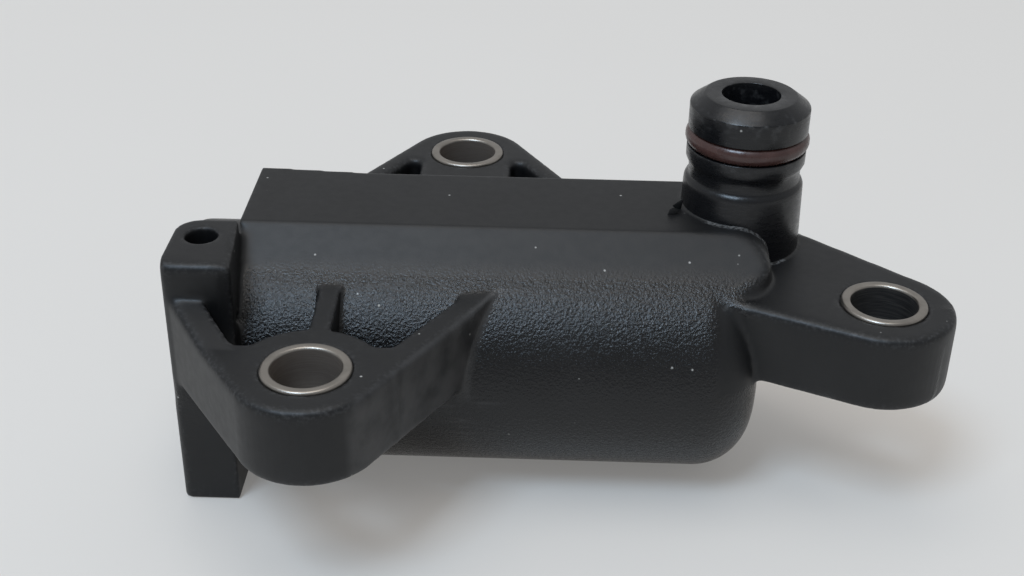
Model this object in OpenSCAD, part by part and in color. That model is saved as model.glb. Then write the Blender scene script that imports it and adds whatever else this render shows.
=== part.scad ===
// Hydraulic timing chain tensioner: a moulded housing with three bolt lugs and an oil inlet spigot,
// a steel liner, a sprung plunger and a ball check valve. All sizes are in millimetres.
// The origin is the middle of the front bush's upper rim. X runs along the barrel to its closed end,
// Y runs from the front lug to the rear lug, and Z rises out of the mounting side.

/* [Bolt bushes] */
// Bolt hole through a bush
bush_bore_d = 7; // [6.2:0.1:7.4]
// Wall of a bush
bush_wall = 1; // [0.8:0.05:1.4]
// Length of a bush
bush_length = 9.3; // [8.6:0.1:10]
// Height that a bush stands proud of its lug at each end
bush_proud = 0.25; // [0.1:0.05:0.5]
// Rounding of a bush's outer rim
bush_round = 0.3; // [0.1:0.05:0.4]

/* [Lugs] */
// Radius of the boss round each bush
boss_r = 7.6; // [6.5:0.1:8.5]
// X of the rear bush
rear_x = 12.7; // [10:0.1:16]
// Y of the rear bush
rear_y = 51.8; // [50:0.1:55]
// X of the right bush
right_x = 58.95; // [57:0.05:63]
// Y of the right bush
right_y = 15.85; // [15:0.05:17]
// Width of the front lug's two wings
front_wing_w = 3; // [2:0.1:4]
// X where the left wing's outer face meets the end post
left_wing_x = -15.7; // [-16:0.1:-13]
// X where the right wing's outer face meets the barrel
right_wing_x = 17.8; // [14:0.1:22]
// Width of the rib between the front boss and the barrel
front_rib_w = 2.3; // [1.5:0.1:3]
// X of that rib's middle
front_rib_x = 0.2; // [-0.5:0.1:1]
// Half width of the webs beside the front boss
front_web_half = 9; // [8.5:0.1:10]
// Y of those webs' rear faces
front_web_y = 4.3; // [3.5:0.1:5]
// Y where the left wing's top starts to climb
left_ramp_y = 3; // [2:0.1:5]
// Height of the left wing's top at the end post
left_ramp_top = 1.4; // [0.5:0.1:2]
// Half width of the rear lug where it leaves the flange
rear_foot_half = 18.2; // [17:0.1:19]
// Width of the rear lug's two wings
rear_wing_w = 2.6; // [1.8:0.1:3.4]
// Width of the web between the rear boss and the flange
rear_web_w = 11.4; // [8:0.1:13]
// Rounding in the corners of the rear lug's pockets
rear_pocket_round = 0.9; // [0.4:0.1:1.1]
// X where the right lug's front face leaves the barrel
right_lug_front_x = 41.9; // [40:0.1:44]

/* [Barrel] */
// Y of the barrel's axis
barrel_y = 23.2; // [22.5:0.1:24]
// Depth of the barrel's axis below the bush rims
barrel_depth = 10.9; // [10.5:0.1:11.5]
// Outer diameter of the barrel
barrel_d = 26.5; // [26:0.1:27.5]
// X of the barrel's open end
barrel_left = -16.4; // [-17:0.1:-16]
// X of the barrel's closed end
barrel_right = 46.5; // [46:0.1:48]
// Rounding of the closed end
barrel_end_round = 6.5; // [4:0.1:7]
// Chamfer on the rim of the open end
barrel_rim_chamfer = 0.6; // [0.3:0.1:1]

/* [End post] */
// X of the post's right face
post_right = -10.2; // [-10.6:0.1:-9]
// Y of the post's front face
post_front = 9.8; // [9:0.1:11]
// Y of the post's back face
post_back = 20.2; // [19:0.1:22]
// Height of the post's top above the bush rims
post_top = 5.4; // [4:0.1:7]
// Rounding of the post's rear left edge
post_back_round = 2.6; // [1:0.1:3]
// Rounding of the post's front left edge
post_front_round = 0.9; // [0.3:0.1:1.5]
// Rounding of the post's upper front edge
post_top_round = 0.8; // [0.3:0.1:1.2]
// Diameter of the lock pin hole
pin_hole_d = 3.5; // [3:0.1:3.8]
// X of the lock pin hole
pin_x = -13.3; // [-13.5:0.1:-12.8]
// Y of the lock pin hole
pin_y = 16.5; // [16.2:0.1:17]

/* [Flange] */
// X of the flange's left end
flange_left = -10.5; // [-11.5:0.1:-10.3]
// X of the flange's right end
flange_right = 47.6; // [46.8:0.1:48.4]
// Y of the flat top's front edge
flange_front = 22.2; // [21:0.1:23]
// Y of the flange's rear edge
flange_rear = 35.2; // [34.5:0.1:36]
// How far the rear edge swings back at the left corner
flange_corner_out = 0.8; // [0.1:0.1:1.2]
// X where the rear edge starts to swing back
flange_kink_x = 1.6; // [0:0.1:3]
// Height of the flange's flat top above the bush rims
flange_top = 4.35; // [4:0.05:4.8]
// Depth that the slope in front of the flat top sinks into the barrel
flange_bite = 0.05; // [0.03:0.01:0.1]
// Rounding of the flange's front right corner, seen from above
flange_corner_round = 5.3; // [4:0.1:6]
// Rounding of the flange's upper right edge
flange_end_round = 4; // [3:0.1:4.5]

/* [Lower ribs] */
// Number of ribs under the rear lug
rib_count = 2; // [2:1:3]
// Distance of the outer ribs from the web's sides
rib_edge = 0.7; // [0.3:0.1:1.5]
// Thickness of a rib
rib_t = 2; // [1.4:0.1:2.4]
// Y of a rib's rear edge under the lug
rib_rear = 39; // [38:0.1:40]
// Distance that a rib's rear edge leans in down to its foot
rib_lean = 2.6; // [1:0.1:4]
// Distance from the barrel's lowest line to the front of a rib's foot
rib_toe = 4; // [2:0.1:6]

/* [Oil spigot] */
// X of the spigot's axis
spigot_x = 44.85; // [44.5:0.05:45.5]
// Y of the spigot's axis
spigot_y = 30.1; // [29.5:0.1:30.8]
// Height of the spigot's top above the bush rims
spigot_top = 17.4; // [16.5:0.05:19]
// Diameter of the oil inlet
inlet_d = 6.4; // [5:0.1:7]
// Diameter of the flat on the spigot's top
spigot_top_d = 10.4; // [9:0.1:11.5]
// Height of the chamfer round the top
spigot_chamfer = 1.15; // [0.5:0.05:1.6]
// Diameter of the lands above and below the seal
spigot_land_d = 13.1; // [12.8:0.05:13.3]
// Height of the seal groove's upper wall
groove_top = 13.8; // [13.5:0.05:14.2]
// Diameter of the groove's floor
groove_d = 10; // [9.6:0.1:10.2]
// Height of the lower land's lower edge
land_low = 9.2; // [9:0.1:10]
// Diameter of the neck below the lands
neck_d = 12.2; // [11.6:0.1:12.6]
// Height of the shoulder's upper edge
shoulder_high = 7.7; // [7.4:0.1:8.4]
// Height of the shoulder's lower edge
shoulder_low = 6.8; // [6.4:0.05:7.2]
// Diameter of the base at the shoulder
base_top_d = 13.1; // [12.8:0.1:13.5]
// Diameter of the base at the lug
base_d = 13.5; // [13.2:0.1:14]

/* [Seals] */
// Thickness of the inlet seal's cord
inlet_seal_t = 1.78; // [1.6:0.01:1.9]
// Thickness of the liner seal's cord
sleeve_seal_t = 1.2; // [1:0.05:1.3]
// Side play of a seal in its groove
seal_side_play = 0.17; // [0.1:0.01:0.3]

/* [Liner] */
// Wall of the liner past its guide land
sleeve_wall = 2.2; // [1.9:0.1:2.5]
// Height of the step from the guide land to the wider bore
guide_step = 0.8; // [0.7:0.05:0.95]
// Distance of the liner's mouth inside the barrel's open end
sleeve_recess = 0.5; // [0.2:0.1:1]
// X of the liner's tail
sleeve_right = 37.5; // [37:0.1:38]
// Distance of the liner's seal from its tail
sleeve_seal_back = 7; // [5:0.5:10]
// Chamfer in the liner's mouth
sleeve_mouth_chamfer = 0.4; // [0.2:0.1:0.6]
// Diameter of the oil chamber behind the liner
chamber_d = 13; // [11:0.1:14]
// Depth of the oil chamber behind the liner
chamber_depth = 5; // [4.4:0.1:5.4]
// Diameter of the cross passage from the inlet to the chamber
passage_d = 3.6; // [2.5:0.1:4]
// Height of the cross passage's axis above the lugs' lower face
passage_rise = 2.75; // [2.4:0.05:3.5]
// Thickness of the plastic below the inlet's floor
inlet_floor_t = 1.75; // [1.2:0.05:2.4]

/* [Plunger] */
// Diameter of the plunger
plunger_d = 14; // [13.8:0.05:14.2]
// Distance that the nose stands out of the barrel at rest
nose_proud = 2.5; // [2:0.1:3.5]
// Radius of the nose's dome
nose_dome_r = 16; // [10:0.5:30]
// Width of the lock groove
lock_groove_w = 4; // [3.8:0.1:4.2]
// Diameter of the lock groove's floor
lock_groove_d = 9.3; // [9:0.1:9.5]
// X of the bore's floor
plunger_bore_floor = -9; // [-9.4:0.1:-8]
// X of the plunger's tail
plunger_tail = 16; // [15.6:0.1:18]
// Stroke of the plunger
plunger_stroke = 18; // [12:0.5:20]
// Thickness of the retaining ring's wire
ring_wire_d = 1.2; // [1:0.05:1.3]
// Distance of the retaining ring in front of the plunger's tail
ring_back = 2; // [1.6:0.1:3]
// Angle of the gap in the retaining ring
ring_gap_angle = 24; // [10:2:40]

/* [Plunger spring] */
// Thickness of the spring's wire
spring_wire_d = 1.2; // [0.8:0.05:1.3]
// Number of turns
spring_turns = 16; // [10:1:20]
// Diameter of the spring guide's stem
guide_stem_d = 6.4; // [4:0.1:6.6]
// Length of the spring guide's stem past its head
guide_stem_l = 29; // [15:0.5:31]
// Thickness of the spring guide's head
guide_head_t = 1.2; // [0.8:0.1:2]
// Chamfer on the end of the spring guide's stem
guide_chamfer = 0.8; // [0.3:0.1:1.2]

/* [Check valve] */
// Thickness of the valve seat
seat_t = 3.5; // [2.5:0.1:4.5]
// Diameter of the seat's orifice
orifice_d = 3.6; // [3:0.1:4]
// Depth of the funnel on the seat's inlet side
seat_funnel = 1.2; // [0.6:0.1:1.6]
// Diameter of the ball
ball_d = 5; // [4.8:0.05:5.1]
// Lift of the ball
ball_lift = 0.6; // [0.3:0.1:0.8]
// Thickness of the cage's sheet
cage_t = 0.5; // [0.4:0.05:0.6]
// Radial room round the ball in the cage
cage_room = 0.4; // [0.35:0.05:0.5]
// Length of the ball's spring at rest
valve_spring_l = 2.6; // [2:0.1:3.5]
// Thickness of the ball's spring wire
valve_wire_d = 0.35; // [0.25:0.05:0.45]
// Number of turns of the ball's spring
valve_turns = 3; // [2:1:4]
// Number of oil windows in the cage
cage_windows = 3; // [2:1:4]
// Width of an oil window
window_w = 1.6; // [1:0.1:2]

/* [Clearances] */
// Radial play of pieces that are pressed together
press_play = 0.02; // [0.01:0.01:0.03]
// Radial running clearance of the plunger in its liner
running_play = 0.03; // [0.02:0.01:0.06]
// Room left at the end of the plunger's stroke
stop_room = 0.3; // [0.2:0.05:0.5]
// Radial room round the retaining ring
ring_room = 0.15; // [0.12:0.01:0.25]
// Radial room between the plunger spring and the valve cage inside it
spring_cage_room = 0.4; // [0.2:0.05:0.5]
// Radial room round the plunger spring in the plunger's bore
spring_bore_room = 0.2; // [0.1:0.05:0.3]
// Gap between the closed ball and its seat
ball_seat_gap = 0.05; // [0.03:0.01:0.1]
// Axial gap between a spring's end and its seat
spring_end_gap = 0.05; // [0.02:0.01:0.1]

/* [Hidden] */
$fn = 96;
eps = 0.01;
cut_over = 1;
bush_bore_r = bush_bore_d / 2;
bush_outer_r = bush_bore_r + bush_wall;
lug_top = -bush_proud;
lug_low = -bush_length + bush_proud;
barrel_r = barrel_d / 2;
barrel_z = -barrel_depth;
floor_z = barrel_z - barrel_r;
front_c = [0, 0];
rear_c = [rear_x, rear_y];
right_c = [right_x, right_y];
spigot_c = [spigot_x, spigot_y];
flank_r = boss_r - 2 * eps;
wing_embed = 4;
left_wing_embed = 0.8;
chamber_right = sleeve_right + chamber_depth;
passage_x = chamber_right - passage_d / 4;
passage_z = lug_low + passage_rise;
inlet_floor = lug_low + inlet_floor_t;
seal_groove_w = inlet_seal_t + 2 * seal_side_play;
groove_low = groove_top - seal_groove_w;
seal_r = groove_d / 2 + press_play + inlet_seal_t / 2;
sleeve_left = barrel_left + sleeve_recess;
guide_r = plunger_d / 2;
relief_r = guide_r + guide_step;
sleeve_r = relief_r + sleeve_wall;
plunger_r = guide_r - running_play;
nose_tip = barrel_left - nose_proud;
nose_edge = nose_tip + nose_dome_r - sqrt(pow(nose_dome_r, 2) - pow(plunger_r, 2));
ring_x = plunger_tail - ring_back;
ring_r = relief_r - ring_room - ring_wire_d / 2;
ring_groove_r = ring_r - ring_wire_d / 2 - press_play;
ring_groove_w = ring_wire_d + 2 * press_play;
stop_x = ring_x - ring_wire_d / 2 - plunger_stroke - stop_room;
sleeve_seal_x = sleeve_right - sleeve_seal_back;
sleeve_groove_r = sleeve_r - sleeve_seal_t - press_play;
seat_left = sleeve_right - seat_t;
ball_r = ball_d / 2;
orifice_r = orifice_d / 2;
ball_x = seat_left - sqrt(pow(ball_r, 2) - pow(orifice_r, 2)) - ball_seat_gap;
cage_inner_r = ball_r + cage_room;
cage_outer_r = cage_inner_r + cage_t;
valve_spring_r = ball_r * 0.6;
valve_spring_right = ball_x - sqrt(pow(ball_r, 2) - pow(valve_spring_r, 2)) - valve_wire_d / 2;
valve_spring_left = valve_spring_right - valve_spring_l;
cage_left = valve_spring_left - spring_end_gap - cage_t;
spring_left = plunger_bore_floor + guide_head_t;
spring_right = seat_left - cage_t;
spring_r = cage_outer_r + spring_cage_room + spring_wire_d / 2;
cage_flange_r = spring_r + spring_wire_d / 2;
plunger_bore_r = cage_flange_r + spring_bore_room;
PLASTIC = [0.09, 0.09, 0.10];
STEEL = [0.70, 0.69, 0.66];
BRIGHT_STEEL = [0.80, 0.80, 0.80];
BROWN_RUBBER = [0.33, 0.20, 0.17];
BLACK_RUBBER = [0.05, 0.05, 0.05];
PALE_PLASTIC = [0.78, 0.74, 0.62];

// Unit vector along v
function unit(v) = v / norm(v);

// Point where the line from p touches the circle of radius r round c, on the side given by side (1 or -1)
function touch_point(p, c, r, side) =
    let (d = p - c, a = atan2(d.y, d.x) + side * acos(r / norm(d)))
    c + r * [cos(a), sin(a)];

// Centre of an inside rounding of radius r at corner p between its two neighbours
function round_centre(before, p, after, r) =
    let (u = unit(before - p), v = unit(after - p))
    p + unit(u + v) * r / sqrt((1 - u * v) / 2);

// Point on the circle of radius r round c where its outer tangent to the circle of radius r2 round c2 starts
function tangent_point(c, r, c2, r2, side) =
    let (d = c2 - c, a = atan2(d.y, d.x) + side * acos((r - r2) / norm(d)))
    c + r * [cos(a), sin(a)];

// Places children drawn round the Z axis on the barrel's axis, with their Z along X
module on_barrel_axis() {
    translate([0, barrel_y, barrel_z]) rotate([0, 90, 0]) children();
}

// What is cut from a square corner at the origin to round it
module corner_cut(r) {
    difference() {
        translate([-eps, -eps]) square(r + eps);
        translate([r, r]) circle(r);
    }
}

// Polygon with counterclockwise points and every corner rounded
module rounded_polygon(points, r) {
    n = len(points);
    centres = [
        for (i = [0 : n - 1])
            round_centre(points[(i + n - 1) % n], points[i], points[(i + 1) % n], r)
    ];
    sides = [for (i = [0 : n - 1]) unit(points[(i + 1) % n] - points[i])];
    normals = [for (s = sides) [s.y, -s.x]];
    polygon([for (i = [0 : n - 1]) for (k = [n - 1, 0]) centres[i] + (r - eps) * normals[(i + k) % n]]);
    for (c = centres) translate(c) circle(r);
}

// Strap of width w whose outer edge runs from the touch point on a boss to p and on past it by reach
module wing(p, c, side, w, reach) {
    t = touch_point(p, c, flank_r, side);
    inward = unit(c - t) * w;
    far = p + unit(p - t) * reach;
    polygon([t, far, far + inward, t + inward]);
}

// Coil of round wire between two heights, with flat cut ends
module coil(r, wire_d, low, high, turns, per_turn, sides) {
    steps = turns * per_turn;
    rise = (high - low - wire_d) / steps;
    points = [
        for (i = [0 : steps]) for (k = [0 : sides - 1])
            let (t = 360 * i / per_turn, a = 360 * k / sides, d = r + wire_d / 2 * cos(a))
            [d * cos(t), d * sin(t), low + wire_d / 2 + rise * i + wire_d / 2 * sin(a)]
    ];
    walls = [
        for (i = [0 : steps - 1]) for (k = [0 : sides - 1])
            let (a = i * sides + k, b = i * sides + (k + 1) % sides)
            [a, a + sides, b + sides, b]
    ];
    start_cap = [for (k = [0 : sides - 1]) k];
    end_cap = [for (k = [sides - 1 : -1 : 0]) steps * sides + k];
    polyhedron(points, concat(walls, [start_cap, end_cap]), convexity = 10);
}

// Barrel with its rounded closed end, before it is bored
module barrel_form() {
    corner = barrel_end_round;
    on_barrel_axis() rotate_extrude() {
        polygon([
            [0, barrel_left],
            [barrel_r - barrel_rim_chamfer, barrel_left],
            [barrel_r, barrel_left + barrel_rim_chamfer],
            [barrel_r, barrel_right - corner],
            [barrel_r - corner, barrel_right - corner],
            [barrel_r - corner, barrel_right],
            [0, barrel_right]
        ]);
        intersection() {
            translate([barrel_r - corner, barrel_right - corner]) circle(corner);
            translate([barrel_r - corner, barrel_right - corner]) square(corner);
        }
    }
}

// Post beside the open end, with rounded left edges and a rounded upper front edge
module end_post() {
    difference() {
        translate([0, 0, floor_z]) linear_extrude(post_top - floor_z) difference() {
            translate([barrel_left, post_front]) square([post_right - barrel_left, post_back - post_front]);
            translate([barrel_left, post_front]) corner_cut(post_front_round);
            translate([barrel_left, post_back]) mirror([0, 1]) corner_cut(post_back_round);
        }
        translate([barrel_left - cut_over, post_front, post_top]) rotate([90, 0, 90])
            linear_extrude(post_right - barrel_left + 2 * cut_over)
                mirror([0, 1]) corner_cut(post_top_round);
    }
}

// Flange over the barrel: a flat top, a slope down to the barrel's front and a rounded right end
module rear_flange() {
    ridge = [flange_front, flange_top];
    foot = touch_point(ridge, [barrel_y, barrel_z], barrel_r - flange_bite, 1);
    plan_front = foot.x - flange_bite;
    past_rear = flange_rear + flange_corner_out + cut_over;
    difference() {
        intersection() {
            translate([flange_left - cut_over, 0, 0]) rotate([90, 0, 90])
                linear_extrude(flange_right - flange_left + 2 * cut_over)
                    polygon([
                        foot,
                        [barrel_y, lug_low],
                        [past_rear, lug_low],
                        [past_rear, flange_top],
                        ridge
                    ]);
            translate([0, 0, lug_low - cut_over]) linear_extrude(flange_top - lug_low + 2 * cut_over)
                difference() {
                    polygon([
                        [flange_left, plan_front],
                        [flange_right, plan_front],
                        [flange_right, flange_rear],
                        [flange_kink_x, flange_rear],
                        [flange_left, flange_rear + flange_corner_out]
                    ]);
                    translate([flange_right, plan_front]) mirror([1, 0]) corner_cut(flange_corner_round);
                }
        }
        translate([flange_right, past_rear, flange_top]) rotate([90, 0, 0])
            linear_extrude(past_rear - plan_front + cut_over) rotate(180) corner_cut(flange_end_round);
    }
}

// Upright ribs under the rear lug's web, from the barrel's rear side down to the barrel's lowest level
module lower_ribs() {
    first = rear_x - rear_web_w / 2 + rib_edge;
    pitch = (rear_web_w - 2 * rib_edge - rib_t) / (rib_count - 1);
    for (i = [0 : rib_count - 1])
        translate([first + i * pitch, 0, 0])
            rotate([90, 0, 90]) linear_extrude(rib_t)
                polygon([
                    [barrel_y, barrel_z],
                    [barrel_y + rib_toe, floor_z],
                    [rib_rear - rib_lean, floor_z],
                    [rib_rear, lug_low],
                    [rib_rear, lug_low + cut_over],
                    [barrel_y, lug_low + cut_over]
                ]);
}

// Plan of the front lug's left wing
module left_wing() {
    wing([left_wing_x, post_front], front_c, 1, front_wing_w, left_wing_embed);
}

// Plan of the front lug: boss, two wings, the webs in their corners and a rib
module front_lug_plan() {
    right_p = [right_wing_x, barrel_y - sqrt(pow(barrel_r, 2) - pow(lug_top - barrel_z, 2))];
    circle(boss_r);
    left_wing();
    wing(right_p, front_c, -1, front_wing_w, wing_embed);
    translate([-front_web_half, 0]) square([2 * front_web_half, front_web_y]);
    translate([front_rib_x - front_rib_w / 2, 0]) square([front_rib_w, barrel_y - barrel_r / 2]);
}

// Front lug, with the top of its left wing climbing to the end post
module front_lug() {
    ramp_end = post_front + wing_embed;
    ramp_slope = (left_ramp_top - lug_top) / (post_front - left_ramp_y);
    ramp_end_z = left_ramp_top + ramp_slope * wing_embed;
    translate([0, 0, lug_low]) linear_extrude(lug_top - lug_low) front_lug_plan();
    intersection() {
        translate([0, 0, lug_low]) linear_extrude(ramp_end_z - lug_low) left_wing();
        translate([left_wing_x - wing_embed, 0, 0]) rotate([90, 0, 90]) linear_extrude(-left_wing_x)
            polygon([
                [left_ramp_y, lug_top],
                [left_ramp_y, lug_low],
                [ramp_end, lug_low],
                [ramp_end, ramp_end_z]
            ]);
    }
}

// Rear lug: a boss carried by a web and two wings, with a rounded pocket on each side of the web
module rear_lug() {
    left_p = [rear_x - rear_foot_half, flange_rear];
    right_p = [rear_x + rear_foot_half, flange_rear];
    left_t = touch_point(left_p, rear_c, flank_r, -1);
    right_t = touch_point(right_p, rear_c, flank_r, 1);
    translate([0, 0, lug_low]) linear_extrude(lug_top - lug_low) difference() {
        union() {
            translate(rear_c) circle(boss_r);
            polygon([left_p - [0, 1], right_p - [0, 1], right_p, right_t, left_t, left_p]);
        }
        for (side = [-1, 1]) rear_pocket(side);
    }
}

// Pocket between the web and one wing of the rear lug
module rear_pocket(side) {
    foot = [rear_foot_half, flange_rear - rear_y];
    touch = touch_point(foot, [0, 0], flank_r, 1);
    along = unit(touch - foot);
    inner = foot - [along.y, -along.x] * rear_wing_w;
    low_x = inner.x + along.x * (foot.y - inner.y) / along.y;
    web_x = rear_web_w / 2;
    high_y = inner.y + along.y * (web_x - inner.x) / along.x;
    reach = min(high_y, -sqrt(pow(boss_r, 2) - pow(web_x, 2)) + rear_wing_w);
    high_x = inner.x + along.x * (reach - inner.y) / along.y;
    translate(rear_c) mirror([side < 0 ? 1 : 0, 0])
        rounded_polygon(
            [[web_x, foot.y], [low_x, foot.y], [high_x, reach], [web_x, reach]],
            rear_pocket_round
        );
}

// Right lug: a boss joined by straight flanks to the barrel's closed end and to the spigot's base
module right_lug() {
    base_r = base_d / 2 - 2 * eps;
    front_p = [right_lug_front_x, barrel_y - sqrt(pow(barrel_r, 2) - pow(lug_top - barrel_z, 2))];
    front_t = touch_point(front_p, right_c, flank_r, 1);
    rear_t = tangent_point(right_c, flank_r, spigot_c, base_r, -1);
    base_t = tangent_point(spigot_c, base_r, right_c, flank_r, 1);
    translate([0, 0, lug_low]) linear_extrude(lug_top - lug_low) {
        translate(right_c) circle(boss_r);
        polygon([front_p, front_t, rear_t, base_t, spigot_c, [right_lug_front_x - wing_embed, barrel_y]]);
    }
}

// Oil inlet spigot with its chamfered top, seal groove, neck and shoulder
module inlet_spigot() {
    land_r = spigot_land_d / 2;
    base_r = base_d / 2;
    translate([spigot_x, spigot_y, 0]) rotate_extrude()
        polygon([
            [0, lug_low],
            [base_r, lug_low],
            [base_r, lug_top],
            [base_top_d / 2, shoulder_low],
            [neck_d / 2, shoulder_high],
            [neck_d / 2, land_low],
            [land_r, land_low + (land_r - neck_d / 2)],
            [land_r, groove_low],
            [groove_d / 2, groove_low],
            [groove_d / 2, groove_top],
            [land_r, groove_top],
            [land_r, spigot_top - spigot_chamfer],
            [spigot_top_d / 2, spigot_top],
            [0, spigot_top]
        ]);
}

// Stepped bore of the barrel, the inlet and the passage that joins them
module oil_ways() {
    on_barrel_axis() {
        translate([0, 0, barrel_left - cut_over])
            cylinder(r = sleeve_r + press_play, h = sleeve_right - barrel_left + cut_over);
        cylinder(d = chamber_d, h = chamber_right);
    }
    translate([spigot_x, spigot_y, inlet_floor])
        cylinder(d = inlet_d, h = spigot_top - inlet_floor + cut_over);
    translate([passage_x, barrel_y, passage_z]) rotate([-90, 0, 0])
        cylinder(d = passage_d, h = spigot_y - barrel_y);
}

// Lock pin hole through the whole height of the post
module lock_pin_hole() {
    translate([pin_x, pin_y, floor_z - cut_over])
        cylinder(d = pin_hole_d, h = post_top - floor_z + 2 * cut_over);
}

// One bolt bush with rounded outer rims and its upper rim at height 0
module bolt_bush(c) {
    color(STEEL) translate([c.x, c.y, -bush_length]) rotate_extrude() difference() {
        translate([bush_bore_r, 0]) square([bush_wall, bush_length]);
        translate([bush_outer_r, 0]) mirror([1, 0]) corner_cut(bush_round);
        translate([bush_outer_r, bush_length]) rotate(180) corner_cut(bush_round);
    }
}

module housing() {
    color(PLASTIC) difference() {
        union() {
            barrel_form();
            end_post();
            rear_flange();
            lower_ribs();
            front_lug();
            rear_lug();
            right_lug();
            inlet_spigot();
        }
        oil_ways();
        lock_pin_hole();
        for (c = [front_c, rear_c, right_c])
            translate([c.x, c.y, lug_low - cut_over])
                cylinder(r = bush_outer_r + press_play, h = bush_length + cut_over);
    }
}

module front_bush() {
    bolt_bush(front_c);
}

module rear_bush() {
    bolt_bush(rear_c);
}

module right_bush() {
    bolt_bush(right_c);
}

module inlet_seal() {
    color(BROWN_RUBBER) translate([spigot_x, spigot_y, (groove_top + groove_low) / 2])
        rotate_extrude() translate([seal_r, 0]) circle(d = inlet_seal_t);
}

module cylinder_sleeve() {
    groove_half = sleeve_seal_t / 2 + seal_side_play;
    color(BRIGHT_STEEL) difference() {
        on_barrel_axis() rotate_extrude() polygon([
            [guide_r + sleeve_mouth_chamfer, sleeve_left],
            [sleeve_r, sleeve_left],
            [sleeve_r, sleeve_seal_x - groove_half],
            [sleeve_groove_r, sleeve_seal_x - groove_half],
            [sleeve_groove_r, sleeve_seal_x + groove_half],
            [sleeve_r, sleeve_seal_x + groove_half],
            [sleeve_r, sleeve_right],
            [relief_r, sleeve_right],
            [relief_r, stop_x],
            [guide_r, stop_x],
            [guide_r, sleeve_left + sleeve_mouth_chamfer]
        ]);
        lock_pin_hole();
    }
}

module sleeve_seal() {
    color(BLACK_RUBBER) on_barrel_axis() translate([0, 0, sleeve_seal_x])
        rotate_extrude() translate([sleeve_r - sleeve_seal_t / 2, 0]) circle(d = sleeve_seal_t);
}

module plunger() {
    color(BRIGHT_STEEL) on_barrel_axis() difference() {
        intersection() {
            translate([0, 0, nose_tip - cut_over])
                cylinder(r = plunger_r, h = plunger_tail - nose_tip + cut_over);
            union() {
                translate([0, 0, nose_tip + nose_dome_r]) sphere(nose_dome_r);
                translate([0, 0, nose_edge])
                    cylinder(r = plunger_r + cut_over, h = plunger_tail - nose_edge + cut_over);
            }
        }
        translate([0, 0, plunger_bore_floor])
            cylinder(r = plunger_bore_r, h = plunger_tail - plunger_bore_floor + cut_over);
        translate([0, 0, pin_x - lock_groove_w / 2]) ring_cut(lock_groove_d / 2, lock_groove_w);
        translate([0, 0, ring_x - ring_groove_w / 2]) ring_cut(ring_groove_r, ring_groove_w);
    }
}

// Groove round the plunger down to radius floor_r
module ring_cut(floor_r, w) {
    rotate_extrude() translate([floor_r, 0]) square([plunger_r, w]);
}

module retaining_ring() {
    color(STEEL) on_barrel_axis() translate([0, 0, ring_x]) rotate(ring_gap_angle / 2)
        rotate_extrude(angle = 360 - ring_gap_angle) translate([ring_r, 0]) circle(d = ring_wire_d);
}

module spring_guide() {
    stem_r = guide_stem_d / 2;
    stem_end = plunger_bore_floor + guide_head_t + guide_stem_l;
    color(PALE_PLASTIC) on_barrel_axis() rotate_extrude() polygon([
        [0, plunger_bore_floor],
        [plunger_bore_r - 4 * running_play, plunger_bore_floor],
        [plunger_bore_r - 4 * running_play, spring_left],
        [stem_r, spring_left],
        [stem_r, stem_end - guide_chamfer],
        [stem_r - guide_chamfer, stem_end],
        [0, stem_end]
    ]);
}

module plunger_spring() {
    low = spring_left + spring_end_gap;
    high = spring_right - spring_end_gap;
    color(STEEL) on_barrel_axis() coil(spring_r, spring_wire_d, low, high, spring_turns, 14, 8);
}

module valve_seat() {
    color(STEEL) on_barrel_axis() rotate_extrude() polygon([
        [orifice_r, seat_left],
        [relief_r - press_play, seat_left],
        [relief_r - press_play, sleeve_right],
        [orifice_r + seat_funnel, sleeve_right],
        [orifice_r, sleeve_right - seat_funnel]
    ]);
}

module valve_cage() {
    color(BRIGHT_STEEL) on_barrel_axis() difference() {
        rotate_extrude() polygon([
            [valve_spring_r - valve_wire_d, cage_left],
            [cage_outer_r, cage_left],
            [cage_outer_r, spring_right],
            [cage_flange_r, spring_right],
            [cage_flange_r, seat_left],
            [cage_inner_r, seat_left],
            [cage_inner_r, cage_left + cage_t],
            [valve_spring_r - valve_wire_d, cage_left + cage_t]
        ]);
        for (i = [0 : cage_windows - 1]) rotate(360 * i / cage_windows)
            translate([0, -window_w / 2, ball_x - ball_r])
                cube([cage_outer_r + cut_over, window_w, seat_left - 2 * cage_t - ball_x + ball_r]);
    }
}

module check_ball() {
    color(BRIGHT_STEEL) on_barrel_axis() translate([0, 0, ball_x]) sphere(ball_r);
}

module valve_spring() {
    high = valve_spring_right - spring_end_gap;
    color(STEEL) on_barrel_axis()
        coil(valve_spring_r, valve_wire_d, valve_spring_left, high, valve_turns, 12, 6);
}

housing();
front_bush();
rear_bush();
right_bush();
inlet_seal();
cylinder_sleeve();
sleeve_seal();
plunger();
retaining_ring();
spring_guide();
plunger_spring();
valve_seat();
valve_cage();
check_ball();
valve_spring();
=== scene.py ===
"""Timing chain tensioner: a black moulded hydraulic tensioner that lies on a pale table."""

import math

import bpy
import numpy as np
from mathutils import Matrix, Vector
from mathutils.kdtree import KDTree


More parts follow.
